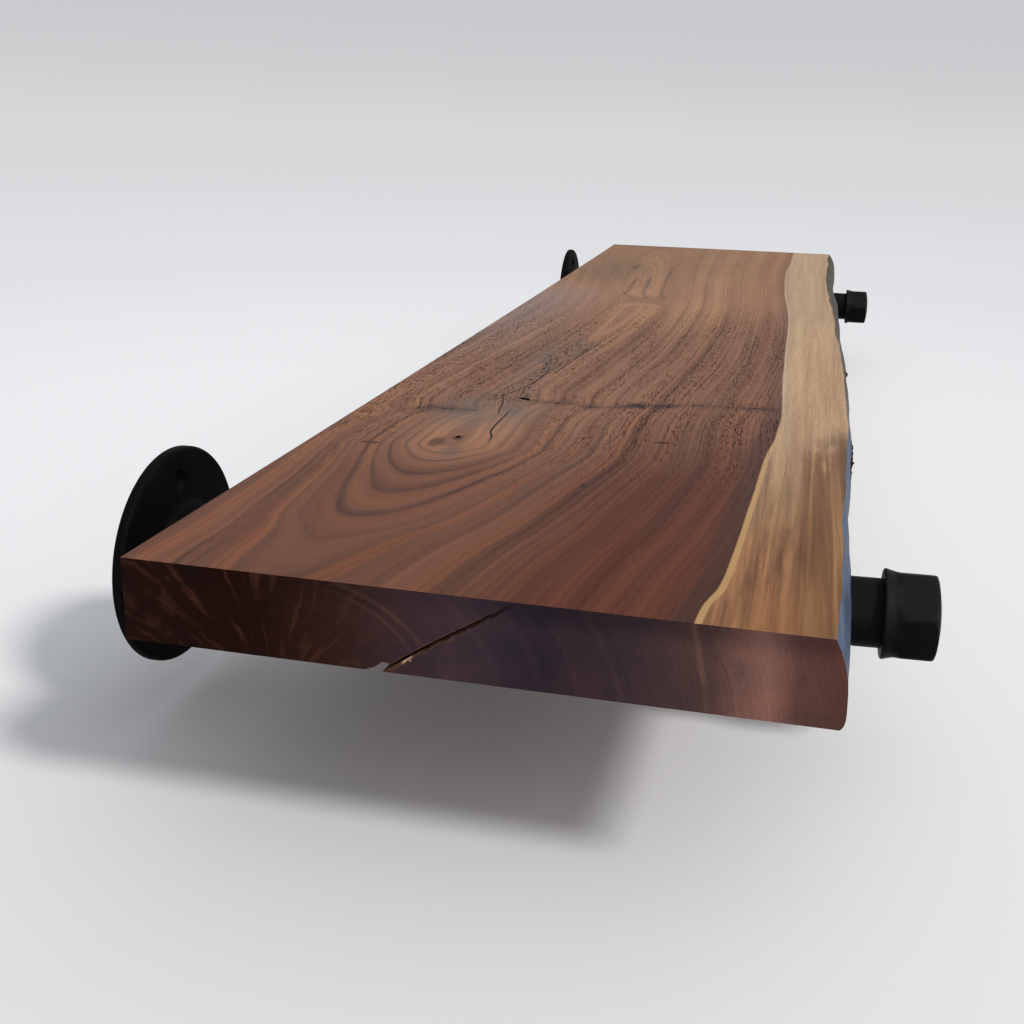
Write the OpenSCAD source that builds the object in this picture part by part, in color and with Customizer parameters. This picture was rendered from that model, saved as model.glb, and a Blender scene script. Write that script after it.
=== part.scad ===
// Wall shelf: a live-edge walnut board that rests on two pipe brackets.
// X runs along the wall, the wall is the plane y = 0, the room lies towards -Y.
// The origin is on the wall, midway between the brackets, at the height of the pipes' axes.

/* [Board] */
// Length of the board along its sawn back edge
board_l = 1000; // [800:10:1400]
// Thickness of the board
board_t = 28; // [20:1:45]
// Width of the left end, from the back edge to the live edge's fullest line
board_w = 238; // [180:1:320]
// How much wider the board gets towards its right end
board_flare = 13; // [0:1:25]
// How far the back edge bows towards the room halfway along
back_bow = 1.8; // [0:0.1:5]
// How far the left end is sawn out of square
left_skew = 14; // [0:1:25]
// How far the right end is sawn out of square
right_skew = 4; // [0:1:25]

/* [Live edge] */
// Depth of the hollows along the live edge
edge_wave = 11; // [0:0.5:20]
// Widest slope of the edge's upper half, from the fullest line in to the top
edge_slope = 10; // [3:0.5:14]
// Height of the fullest line, as a share of the thickness
edge_full_at = 0.42; // [0.3:0.01:0.6]
// How far the edge tucks under at the bottom
edge_tuck = 1.8; // [0.5:0.1:5]
// Height of the ripples that the bark leaves in the wood
edge_ripple = 0.5; // [0:0.05:1.5]

/* [Split in the left end] */
// Distance of the split from the back edge, at the underside
split_at = 88; // [60:1:120]
// Reach of the split across the end
split_run = 35; // [20:1:50]
// Height of the split above the underside
split_rise = 23; // [8:0.5:26]
// Opening of the split just above its mouth
split_w = 1.3; // [0.6:0.1:3]
// Length of the rounded lip beside the mouth
split_lip = 6; // [3:0.5:12]
// Depth of the split into the board
split_depth = 46; // [15:1:90]

/* [Marks in the board's top] */
// Distance of the open drying check from the board's left end
check_from_end = 242; // [150:1:600]
// Distance of the drying check from the wall
check_from_wall = 115; // [90:1:200]
// Length of the drying check
check_l = 10; // [4:0.5:20]
// Width of the drying check
check_w = 3.4; // [1:0.1:5]
// Turn of the drying check from the board's length
check_turn = 56; // [0:1:90]
// Depth of the drying check
check_depth = 6; // [1:0.5:12]
// Distance of the small knot hole from the board's left end
knot_from_end = 164; // [100:1:600]
// Distance of the knot hole from the wall
knot_from_wall = 104; // [90:1:200]
// Length of the knot hole along the board
knot_l = 4.4; // [2:0.1:8]
// Width of the knot hole
knot_w = 2.8; // [1:0.1:6]
// Depth of the knot hole
knot_depth = 4; // [1:0.5:12]

/* [Pipes] */
// Outside diameter of a pipe
pipe_od = 26.7; // [21:0.1:34]
// Wall of a pipe
pipe_wall = 2.9; // [2:0.1:4]
// Distance of each pipe's axis from the end of the board's back edge
pipe_inset = 105; // [60:5:250]
// Chamfer on the ends of a pipe
pipe_chamfer = 0.8; // [0.3:0.1:1.5]

/* [Places across the depth] */
// Gap between the wall and the board's back edge, at the left end
back_gap = 44; // [36:1:80]
// Gap between the live edge's fullest line and the cap
cap_gap = 8.4; // [4:1:40]
// Gap between the wall and the back end of a pipe
pipe_setback = 1.2; // [0.5:0.1:4]
// Radial clearance of a pipe in its flange and cap
thread_play = 0.05; // [0.02:0.01:0.1]

/* [Wall flanges] */
// Diameter of a flange
flange_d = 88.9; // [76:0.1:110]
// Thickness of the plate at its rim
flange_rim_t = 4; // [3:0.1:7]
// Rounding of the rim's front edge
flange_round = 1.8; // [0.5:0.1:2.5]
// Thickness of the plate beside the hub
flange_root_t = 5.2; // [4:0.1:8]
// Height of the hub above the wall
hub_h = 20; // [16:0.5:28]
// Wall of the hub at its front
hub_wall = 5.2; // [4:0.1:8]
// How much wider the hub is at its foot
hub_taper = 1.6; // [0:0.1:4]
// Fillet between the hub and the plate
hub_fillet = 4; // [1:0.5:6]
// Diameter of the circle that the screw holes lie on
screw_circle_d = 62; // [58:0.5:76]
// Number of screw holes
screw_count = 4; // [3:1:6]
// Diameter of a screw hole
screw_hole_d = 6.4; // [4:0.1:7.5]
// Diameter of the countersink at the plate's front
screw_sink_d = 10; // [8:0.1:12]
// Depth of the countersink
screw_sink_h = 1.9; // [0.5:0.1:3]

/* [End caps] */
// Length of pipe inside the left cap
left_cap_grip = 15; // [10:0.5:20]
// Length of pipe inside the right cap, which is screwed on less far
right_cap_grip = 11.5; // [10:0.5:20]
// Depth of the bore past the deeper pipe end
cap_end_play = 1.8; // [0.3:0.1:2]
// Wall of the flared band at the mouth
cap_band_wall = 4; // [3:0.1:7]
// Length of the flared band, from the mouth to the hexagon
cap_band_l = 6.4; // [3:0.1:9]
// Width across the flats of the hexagon
cap_flats = 32; // [31:0.1:44]
// Thickness of the closed end
cap_end_t = 5.4; // [3:0.1:8]
// Height of the dome on the closed end
cap_dome = 1.2; // [0.3:0.1:3]
// Rounding of the hexagon's front corners
cap_shoulder = 3; // [1:0.1:4]
// How much is turned off the hexagon's long corners
cap_corner_cut = 0.5; // [0.1:0.1:1]
// Rounding of the lip at the mouth
cap_round = 1; // [0.4:0.1:1.5]
// Turn of the left cap's hexagon
left_cap_turn = 40; // [0:1:59]
// Turn of the right cap's hexagon
right_cap_turn = 53; // [0:1:59]

/* [Hidden] */
$fn = 96;

pipe_r = pipe_od / 2;
pipe_spacing = board_l - 2 * pipe_inset;
socket_r = pipe_r + thread_play;

// Places across the depth, measured from the wall
reach = back_gap + board_w;
cap_mouth = reach + cap_gap;
pipe_l = cap_mouth + left_cap_grip - pipe_setback;
right_cap_mouth = cap_mouth + left_cap_grip - right_cap_grip;

// Radii of the flange and the cap
flange_r = flange_d / 2;
hub_r = socket_r + hub_wall;
foot_r = hub_r + hub_taper;
band_r = socket_r + cap_band_wall;
neck_r = cap_flats / 2 - 0.05;
hex_r = cap_flats / 2 / cos(30);
corner_r = hex_r - cap_corner_cut;
cap_bore_l = max(left_cap_grip, right_cap_grip) + cap_end_play;
cap_l = cap_bore_l + cap_end_t;

// Small step that lets a cutting shape pass its surface
eps = 0.5;

// Live edge, from the left end to the right: set-back of the fullest line
// and width of the upper slope, as shares of their largest values
hollow = [0.78, 0.62, 0.54, 0.55, 0.26, 0.1, 0.15, 0.01, 0, 0, 0.12,
          0.13, 0.05, 0.12, 0.08, 0.15, 0.32, 0.34, 0.19, 0.02, 0];
slope = [0.48, 0.41, 0.41, 0.14, 0.27, 0.32, 0.27, 0.36, 0.44, 0.52, 0.57,
         0.49, 0.74, 0.87, 0.98, 1, 0.8, 0.7, 0.64, 0.89, 0.62];
edge_steps = 150;
edge_heights = [-0.06, 0, 0.015, 0.035, 0.065, 0.11, 0.18, 0.28, 0.4, 0.52,
                0.64, 0.76, 0.88, 1, 1.06];

// Value of a list at a share s of its length, eased between its entries
function ease(t) = t * t * (3 - 2 * t);
function along(list, s) =
    let(n = len(list) - 1, u = min(max(s, 0), 1) * n, i = min(floor(u), n - 1))
    list[i] + (list[i + 1] - list[i]) * ease(u - i);

// Uneven surface under the bark: s runs along the board, v up the edge
function ripple(s, v) =
    edge_ripple * (0.5 * sin(360 * (5.3 * s + 0.35 * v))
                   + 0.3 * sin(360 * (13.7 * s - 0.6 * v) + 70)
                   + 0.2 * sin(360 * (29.1 * s + 0.9 * v) + 200));

// Set-back of the edge's surface from the fullest line at height share v
function edge_in(s, v) =
    v > edge_full_at
        ? edge_slope * along(slope, s) * pow((v - edge_full_at) / (1 - edge_full_at), 1.8)
        : edge_tuck * pow((edge_full_at - v) / edge_full_at, 7);

function edge_y(s, v) =
    -reach + edge_wave * along(hollow, s) + edge_in(s, v) + ripple(s, v);

// Back edge and sawn ends in plan
function back_y(s) = -back_gap + board_flare * s - back_bow * 4 * s * (1 - s);
back_steps = 24;
left_back = [-board_l / 2, back_y(0)];
right_back = [board_l / 2, back_y(1)];
left_front = [-board_l / 2 - left_skew, -reach];
right_front = [board_l / 2 + right_skew, -reach];
front_over = 4;

// Point on a line through a and b at the depth y
function at_depth(a, b, y) = a[0] + (b[0] - a[0]) * (y - a[1]) / (b[1] - a[1]);

// Block whose front is the live edge's surface and whose other sides stand proud of the board
module edge_stock() {
    x0 = min(left_back[0], left_front[0]) - 6;
    x1 = max(right_back[0], right_front[0]) + 6;
    nv = len(edge_heights);
    ring = nv + 2;
    behind = 20;
    points = [
        for (i = [0 : edge_steps])
            let(s = i / edge_steps, x = x0 + (x1 - x0) * s)
            each concat(
                [for (v = edge_heights) [x, edge_y(s, v), v * board_t]],
                [[x, behind, edge_heights[nv - 1] * board_t],
                 [x, behind, edge_heights[0] * board_t]])
    ];
    faces = concat(
        [[for (k = [0 : ring - 1]) k]],
        [[for (k = [ring - 1 : -1 : 0]) edge_steps * ring + k]],
        [
            for (i = [0 : edge_steps - 1], k = [0 : ring - 1])
                let(a = i * ring + k, b = i * ring + (k + 1) % ring)
                [a, a + ring, b + ring, b]
        ]
    );
    polyhedron(points, faces, convexity = 6);
}

// Outline of the sawn board, its front left oversize for the live edge
module board_plan() {
    y_front = -reach - front_over;
    polygon(concat(
        [for (i = [0 : back_steps])
            let(s = i / back_steps) [(s - 0.5) * board_l, back_y(s)]],
        [[at_depth(right_back, right_front, y_front), y_front],
         [at_depth(left_back, left_front, y_front), y_front]]
    ));
}

// Section of the split: u across the end from the back edge, v above the underside
function split_v(u) = split_rise * pow(u / split_run, 0.92);
function split_half(u) = split_w / 2 * (1 - 0.75 * u / split_run);
module split_section() {
    n = 12;
    us = [for (i = [0 : n]) split_run * i / n];
    polygon(concat(
        [[split_at - split_lip, -eps], [split_at - split_lip, 0],
         [split_at - split_lip * 0.45, split_lip * 0.2],
         [split_at, split_lip * 0.55]],
        [for (u = us) if (u > split_lip * 0.4) [split_at + u, split_v(u) + split_half(u)]],
        [for (i = [n : -1 : 0]) if (us[i] > split_lip * 0.4)
            [split_at + us[i], split_v(us[i]) - split_half(us[i])]],
        [[split_at, 0], [split_at, -eps]]
    ));
}

module split_cut() {
    end_turn = atan2(left_back[0] - left_front[0], left_back[1] - left_front[1]);
    translate([left_back[0], left_back[1], 0])
        rotate([0, 0, -end_turn])
            translate([-eps * 10, 0, 0])
                rotate([90, 0, 90])
                    linear_extrude(split_depth + eps * 10)
                        mirror([1, 0]) split_section();
}

// Pointed oval with its long axis along X
module pointed_oval(l, w) {
    r = (l * l + w * w) / (4 * w);
    intersection() {
        translate([0, r - w / 2]) circle(r = r);
        translate([0, w / 2 - r]) circle(r = r);
    }
}

// Hollow in the board's top, at x from the left end and y from the wall
module top_hollow(x, y, turn, l, w, depth) {
    translate([x - board_l / 2, -y, board_t - depth])
        rotate([0, 0, turn])
            linear_extrude(depth + eps) pointed_oval(l, w);
}

// Board of walnut with three sawn sides and one live edge
module live_edge_board() {
    color("#6f4630")
        translate([0, 0, pipe_r])
            difference() {
                intersection() {
                    linear_extrude(board_t) board_plan();
                    edge_stock();
                }
                split_cut();
                top_hollow(check_from_end, check_from_wall, check_turn,
                           check_l, check_w, check_depth);
                top_hollow(knot_from_end, knot_from_wall, 0, knot_l, knot_w, knot_depth);
            }
}

// Half section of the cast flange: r from the pipe's axis, h from the wall
module flange_section() {
    fillet_r = foot_r + hub_fillet;
    lip = 0.8;
    polygon(concat(
        [[0, 0], [flange_r, 0]],
        [for (a = [0 : 15 : 90])
            [flange_r - flange_round + flange_round * cos(a),
             flange_rim_t - flange_round + flange_round * sin(a)]],
        [for (a = [0 : 15 : 90])
            [fillet_r - hub_fillet * sin(a),
             flange_root_t + hub_fillet - hub_fillet * cos(a)]],
        [[hub_r, hub_h - lip], [hub_r - lip, hub_h], [0, hub_h]]
    ));
}

module wall_flange() {
    color("#1d1e20")
        rotate([90, 0, 0])
            difference() {
                rotate_extrude() flange_section();
                translate([0, 0, -eps]) cylinder(r = socket_r, h = hub_h + 2 * eps);
                for (i = [0 : screw_count - 1])
                    rotate([0, 0, 90 + i * 360 / screw_count])
                        translate([screw_circle_d / 2, 0, 0]) screw_hole();
            }
}

// Countersunk hole, open towards the room
module screw_hole() {
    translate([0, 0, -eps])
        cylinder(d = screw_hole_d, h = flange_root_t + 2 * eps, $fn = 48);
    translate([0, 0, flange_rim_t - screw_sink_h])
        cylinder(d1 = screw_hole_d, d2 = screw_sink_d, h = screw_sink_h, $fn = 48);
    translate([0, 0, flange_rim_t - 0.001])
        cylinder(d = screw_sink_d, h = flange_root_t, $fn = 48);
}

module left_wall_flange() {
    translate([-pipe_spacing / 2, 0, 0]) wall_flange();
}

module right_wall_flange() {
    translate([pipe_spacing / 2, 0, 0]) wall_flange();
}

// Straight pipe from inside the flange to inside the cap
module bracket_pipe() {
    bore_r = pipe_r - pipe_wall;
    color("#202124")
        translate([0, -pipe_setback, 0])
            rotate([90, 0, 0])
                rotate_extrude()
                    polygon([
                        [bore_r, 0],
                        [pipe_r - pipe_chamfer, 0],
                        [pipe_r, pipe_chamfer],
                        [pipe_r, pipe_l - pipe_chamfer],
                        [pipe_r - pipe_chamfer, pipe_l],
                        [bore_r, pipe_l]
                    ]);
}

module left_pipe() {
    translate([-pipe_spacing / 2, 0, 0]) bracket_pipe();
}

module right_pipe() {
    translate([pipe_spacing / 2, 0, 0]) bracket_pipe();
}

// Turned outline of the hexagon: it rises from the flare, has rounded front corners and a domed end
module cap_envelope() {
    inner_r = cap_flats / 2 - 3.5;
    wide = corner_r - inner_r;
    shoulder_h = cap_l - cap_dome - cap_shoulder;
    polygon(concat(
        [[0, cap_band_l - 3.4], [neck_r - 0.3, cap_band_l - 3.4],
         [corner_r - 0.4, cap_band_l + 0.6], [corner_r, cap_band_l + 1.8]],
        [for (a = [0 : 10 : 80])
            [inner_r + wide * cos(a), shoulder_h + cap_shoulder * sin(a)]],
        [[inner_r * 0.6, cap_l - cap_dome * 0.25], [0, cap_l]]
    ));
}

// Band round the mouth: a rounded lip that sweeps in to the hexagon
module cap_band() {
    sweep = cap_band_l - cap_round;
    polygon(concat(
        [[0, 0]],
        [for (a = [-90 : 15 : 0])
            [band_r - cap_round + cap_round * cos(a), cap_round + cap_round * sin(a)]],
        [for (i = [1 : 8])
            let(t = i / 8) [neck_r + (band_r - neck_r) * pow(1 - t, 1.15), cap_round + sweep * t]],
        [[0, cap_band_l]]
    ));
}

module end_cap(turn, mouth) {
    color("#17181a")
        translate([0, -mouth, 0])
            rotate([90, 0, 0])
                difference() {
                    union() {
                        rotate_extrude() cap_band();
                        intersection() {
                            rotate([0, 0, turn]) cylinder(r = hex_r, h = cap_l + eps, $fn = 6);
                            rotate_extrude() cap_envelope();
                        }
                    }
                    translate([0, 0, -eps]) cylinder(r = socket_r, h = cap_bore_l + eps);
                }
}

module left_end_cap() {
    translate([-pipe_spacing / 2, 0, 0]) end_cap(left_cap_turn, cap_mouth);
}

module right_end_cap() {
    translate([pipe_spacing / 2, 0, 0]) end_cap(right_cap_turn, right_cap_mouth);
}

live_edge_board();
left_wall_flange();
right_wall_flange();
left_pipe();
right_pipe();
left_end_cap();
right_end_cap();
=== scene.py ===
import math
from types import SimpleNamespace

import bmesh
import bpy
from mathutils import Matrix, Vector, noise
from mathutils.bvhtree import BVHTree


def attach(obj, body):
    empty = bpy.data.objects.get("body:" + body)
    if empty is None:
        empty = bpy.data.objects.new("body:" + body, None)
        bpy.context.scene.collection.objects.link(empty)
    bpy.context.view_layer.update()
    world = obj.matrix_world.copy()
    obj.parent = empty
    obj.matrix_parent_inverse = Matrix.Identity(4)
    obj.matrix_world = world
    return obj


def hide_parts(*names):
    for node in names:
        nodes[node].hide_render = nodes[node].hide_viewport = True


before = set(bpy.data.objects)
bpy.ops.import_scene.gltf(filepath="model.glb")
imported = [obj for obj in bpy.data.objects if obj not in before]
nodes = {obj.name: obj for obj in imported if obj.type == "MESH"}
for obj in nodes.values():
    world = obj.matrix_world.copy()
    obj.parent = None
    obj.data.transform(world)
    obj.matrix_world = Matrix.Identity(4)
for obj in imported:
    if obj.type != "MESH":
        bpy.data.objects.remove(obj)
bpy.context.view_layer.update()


def reach_of(node, axis):
    """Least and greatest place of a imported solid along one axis, to a hundredth of a millimetre."""
    places = [vert.co[axis] for vert in nodes[node].data.vertices]
    return round(min(places), 5), round(max(places), 5)


BOARD_UNDER, BOARD_TOP = reach_of("live_edge_board", 2)
FLOAT, VECTOR = "NodeSocketFloat", "NodeSocketVector"


# Camera

def place_camera():
    """Stands where the photograph was taken from, close to the board's left end."""
    data = bpy.data.cameras.new("camera")
    data.sensor_width = 36.0
    data.lens = 40.8526
    data.shift_x = -0.137255
    data.shift_y = -0.099712
    data.clip_start = 0.01
    data.clip_end = 50.0
    camera = bpy.data.objects.new("camera", data)
    right = Vector((0.137809, -0.989868, 0.034216))
    up = Vector((0.235717, 0.066331, 0.969555))
    back = Vector((-0.962001, -0.125549, 0.24247))
    turn = Matrix((right, up, back)).transposed().to_4x4()
    camera.matrix_world = Matrix.Translation((-0.81996, -0.25419, 0.18168)) @ turn
    bpy.context.scene.collection.objects.link(camera)
    bpy.context.scene.camera = camera


# Wiring of materials

# Base of the soft bell, and the grey that changes nothing where it is overlaid
BELL_BASE = 2.718
MID_GREY = (0.5, 0.5, 0.5)


def opaque(colour):
    """A colour with full cover, or the socket as it is."""
    return (*colour, 1.0) if isinstance(colour, tuple) else colour


class Net:
    """Short calls for wiring the nodes of one material or group."""

    def __init__(self, tree):
        self.tree = tree

    def add(self, kind, inputs=None, **settings):
        node = self.tree.nodes.new(kind)
        for name, value in settings.items():
            setattr(node, name, value)
        for name, value in (inputs or {}).items():
            self.feed(node.inputs[name], value)
        return node

    def feed(self, socket, value):
        if isinstance(value, bpy.types.NodeSocket):
            self.tree.links.new(value, socket)
        elif value is not None:
            socket.default_value = value

    def math(self, operation, *values):
        return self.add("ShaderNodeMath", dict(enumerate(values)), operation=operation).outputs[0]

    def times(self, first, *others):
        for value in others:
            first = self.math("MULTIPLY", first, value)
        return first

    def most(self, first, *others):
        for value in others:
            first = self.math("MAXIMUM", first, value)
        return first

    def plus(self, first, second):
        return self.math("ADD", first, second)

    def minus(self, first, second):
        return self.math("SUBTRACT", first, second)

    def over(self, first, second):
        return self.math("DIVIDE", first, second)

    def power(self, value, exponent):
        return self.math("POWER", value, exponent)

    def size(self, value):
        return self.math("ABSOLUTE", value)

    def opposite(self, value):
        return self.times(value, -1.0)

    def squares(self, first, second):
        return self.plus(self.power(first, 2.0), self.power(second, 2.0))

    def bell(self, value, width):
        """One where the value is nought, falling away softly on both sides."""
        squared = self.power(self.over(value, width), 2.0)
        return self.power(BELL_BASE, self.opposite(squared))

    def span(self, value, low, high, out_low=0.0, out_high=1.0, kind="SMOOTHSTEP"):
        """The value carried from low..high to out_low..out_high, held at both ends."""
        inputs = {"Value": value, "From Min": low, "From Max": high, "To Min": out_low, "To Max": out_high}
        return self.add("ShaderNodeMapRange", inputs, interpolation_type=kind).outputs[0]

    def line(self, value, low, high, out_low=0.0, out_high=1.0):
        """The same in a straight line, without the soft ends."""
        return self.span(value, low, high, out_low, out_high, "LINEAR")

    def fade(self, value, low, high):
        """One below low, nought above high."""
        return self.span(value, low, high, 1.0, 0.0)

    def between(self, value, low, full, fading, gone):
        """One from full to fading, nought below low and above gone."""
        return self.times(self.span(value, low, full), self.fade(value, fading, gone))

    def apart(self, vector):
        parts = self.add("ShaderNodeSeparateXYZ", {0: vector}).outputs
        return parts[0], parts[1], parts[2]

    def grain(self, place, by, detail=2.0, rough=0.5, bend=0.0, at=(0, 0, 0)):
        """Noise with its own scale in each direction, so that it can run with the fibres."""
        inputs = {"Vector": place, "Location": at, "Scale": by}
        vector = self.add("ShaderNodeMapping", inputs).outputs[0]
        inputs = {"Vector": vector, "Scale": 1.0, "Detail": detail, "Roughness": rough, "Distortion": bend}
        return self.add("ShaderNodeTexNoise", inputs).outputs["Fac"]

    def mix(self, share, first, second, how="MIX"):
        inputs = {0: share, 6: opaque(first), 7: opaque(second)}
        return self.add("ShaderNodeMix", inputs, data_type="RGBA", blend_type=how).outputs[2]

    def tint(self, share, colour, tone):
        """The colour, multiplied by a tone for the given share."""
        return self.mix(share, colour, self.mix(1.0, colour, tone, "MULTIPLY"))

    def ramp(self, value, stops):
        node = self.add("ShaderNodeValToRGB", {"Fac": value})
        ramp = node.color_ramp
        while len(ramp.elements) < len(stops):
            ramp.elements.new(0.5)
        for element, (place, colour) in zip(ramp.elements, stops):
            element.position = place
            element.color = opaque(colour)
        return node.outputs["Color"]

    def profile(self, value, points, out_low, out_high):
        """A line drawn through points (place, value)."""
        first, last = points[0][0], points[-1][0]
        reach, rise = last - first, out_high - out_low
        node = self.add("ShaderNodeFloatCurve", {"Value": self.line(value, first, last)})
        curve = node.mapping.curves[0]
        while len(curve.points) < len(points):
            curve.points.new(0.5, 0.5)
        for dot, (place, height) in zip(curve.points, points):
            dot.location = ((place - first) / reach, (height - out_low) / rise)
            dot.handle_type = "AUTO_CLAMPED"
        node.mapping.update()
        return self.line(node.outputs[0], 0.0, 1.0, out_low, out_high)

    def bump(self, height, strength, distance, under=None):
        inputs = {"Height": height, "Strength": strength, "Distance": distance, "Normal": under}
        return self.add("ShaderNodeBump", inputs).outputs[0]


def new_group(name, inputs, outputs):
    """An empty node group, with its wiring helper, what it is given and what it hands out."""
    tree = bpy.data.node_groups.new(name, "ShaderNodeTree")
    for label, kind in inputs:
        tree.interface.new_socket(label, in_out="INPUT", socket_type=kind)
    for label, kind in outputs:
        tree.interface.new_socket(label, in_out="OUTPUT", socket_type=kind)
    net = Net(tree)
    return net, net.add("NodeGroupInput").outputs, net.add("NodeGroupOutput").inputs


def new_material(name, gloss, rough=None):
    """A material with its wiring helper and its shader's inputs."""
    material = bpy.data.materials.new(name)
    material.use_nodes = True
    net, shader = Net(material.node_tree), material.node_tree.nodes["Principled BSDF"].inputs
    net.feed(shader["Specular IOR Level"], gloss)
    net.feed(shader["Roughness"], rough)
    return material, net, shader


def place_of(net):
    return net.add("ShaderNodeTexCoord").outputs["Object"]


def use_group(net, name, **inputs):
    """Puts a node group into a net, fed by name, and gives what it hands out."""
    node = net.add("ShaderNodeGroup", node_tree=bpy.data.node_groups[name])
    for label, value in inputs.items():
        net.feed(node.inputs[label.replace("_", " ")], value)
    return node.outputs


# Walnut as it grew

# Width of the heartwood that the rings are drawn for, how they crowd on the wall's side and in depth,
# and how the sapwood leans out towards the underside
HEART_WIDTH = 0.126
WALL_SIDE_CROWDING = 1.25
DEPTH_CROWDING = 1.5
SAPWOOD_LEAN = 0.16


def branch_line(net, across):
    """Where along the board a thin branch crossed it, from the wall to the sapwood."""
    return net.profile(across, [
        (0.04, -0.352), (0.066, -0.292), (0.084, -0.288), (0.1, -0.287), (0.112, -0.2585),
        (0.125, -0.262), (0.135, -0.261), (0.152, -0.266), (0.162, -0.263), (0.172, -0.2575),
        (0.185, -0.255), (0.2, -0.249), (0.24, -0.247), (0.3, -0.246)], -0.36, -0.24)


def pith_line(net, x):
    """How far from the wall the pith lies."""
    return net.profile(x, [
        (-0.52, 0.092), (-0.5, 0.093), (-0.45, 0.0985), (-0.4, 0.102), (-0.342, 0.103), (-0.29, 0.102),
        (-0.25, 0.104), (-0.2, 0.108), (-0.1, 0.115), (0.0, 0.1205), (0.06, 0.122), (0.1, 0.1195),
        (0.16, 0.1135), (0.23, 0.107), (0.3, 0.1005), (0.4, 0.094), (0.52, 0.09)], 0.08, 0.13)


def sunk_line(net, x):
    """How deep the pith lies under the board's top."""
    return net.profile(x, [
        (-0.52, 0.055), (-0.5, 0.0525), (-0.47, 0.05), (-0.446, 0.044), (-0.419, 0.038), (-0.395, 0.032),
        (-0.376, 0.024), (-0.363, 0.017), (-0.351, 0.006), (-0.344, 0.001), (-0.336, 0.001), (-0.32, 0.004),
        (-0.28, 0.008), (-0.2, 0.011), (-0.1, 0.009), (0.0, 0.004), (0.05, 0.001), (0.072, 0.011),
        (0.093, 0.022), (0.12, 0.014), (0.16, 0.006), (0.22, 0.001), (0.3, 0.006), (0.4, 0.015),
        (0.52, 0.026)], 0.0, 0.06)


def sapwood_line(net, x):
    """How far from the wall the sapwood begins."""
    return net.profile(x, [
        (-0.52, 0.228), (-0.5, 0.2295), (-0.48, 0.2335), (-0.44, 0.236), (-0.4, 0.2375), (-0.36, 0.2394),
        (-0.33, 0.241), (-0.294, 0.2443), (-0.25, 0.2457), (-0.2, 0.2445), (-0.1, 0.243), (0.0, 0.242),
        (0.05, 0.241), (0.1, 0.239), (0.15, 0.236), (0.2, 0.2335), (0.3, 0.232), (0.4, 0.2345),
        (0.52, 0.236)], 0.22, 0.25)


def wandering_fibres(net, place, x, straight):
    """Distance from the wall as the fibres run, their quick noise, and the distance from the branch."""
    slow = net.minus(net.grain(place, (4.0, 11.0, 11.0)), 0.5)
    slow = net.times(slow, net.span(x, -0.1, 0.15, 1.0, 0.4))
    quick = net.grain(place, (10.0, 60.0, 60.0))
    wander = net.plus(net.times(slow, 0.0117), net.line(quick, 0.2, 0.8, -0.0006, 0.0006))
    off_trace = net.minus(x, branch_line(net, straight))
    dip = net.times(net.bell(off_trace, 0.016), net.span(straight, 0.11, 0.2, -0.006, -0.0015))
    return net.plus(straight, net.plus(wander, dip)), quick, off_trace


def build_growth_group():
    """Where a point lies in the tree: its distance from the pith, and how far inside the sapwood."""
    net, given, out = new_group(
        "walnut growth",
        [("Place", VECTOR)],
        [("Growth", FLOAT), ("Side", FLOAT), ("Inside", FLOAT), ("Flow", VECTOR), ("Trace", FLOAT)],
    )
    place = given["Place"]
    x, y, z = net.apart(place)
    straight, below_top = net.opposite(y), net.minus(BOARD_TOP, z)
    pith, sap_line = pith_line(net, x), sapwood_line(net, x)

    # Sideways distance from the pith, evened out towards the far end
    across, quick, off_trace = wandering_fibres(net, place, x, straight)
    even = net.minus(net.over(HEART_WIDTH, net.minus(sap_line, pith)), 1.0)
    even = net.plus(1.0, net.times(even, net.span(x, -0.2, 0.05)))
    side = net.times(net.minus(across, pith), even)
    spread = net.most(side, net.times(side, -WALL_SIDE_CROWDING))

    far_off = net.times(net.span(spread, 0.018, 0.045), net.span(x, -0.08, 0.06))
    sunk = net.times(sunk_line(net, x), net.minus(1.0, net.times(far_off, 0.85)))
    deep = net.minus(sunk, net.times(below_top, DEPTH_CROWDING))
    growth = net.math("SQRT", net.squares(spread, net.size(deep)))

    small = net.line(quick, 0.2, 0.8, -0.0008, 0.0008)
    leaning = net.plus(sap_line, net.times(below_top, SAPWOOD_LEAN))
    inside = net.minus(leaning, net.plus(straight, small))
    rise = net.plus(z, net.times(side, 0.6))
    flow = net.add("ShaderNodeCombineXYZ", {0: x, 1: growth, 2: rise}).outputs[0]
    for label, value in (("Growth", growth), ("Side", side), ("Inside", inside), ("Flow", flow),
                         ("Trace", off_trace)):
        net.feed(out[label], value)


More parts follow.
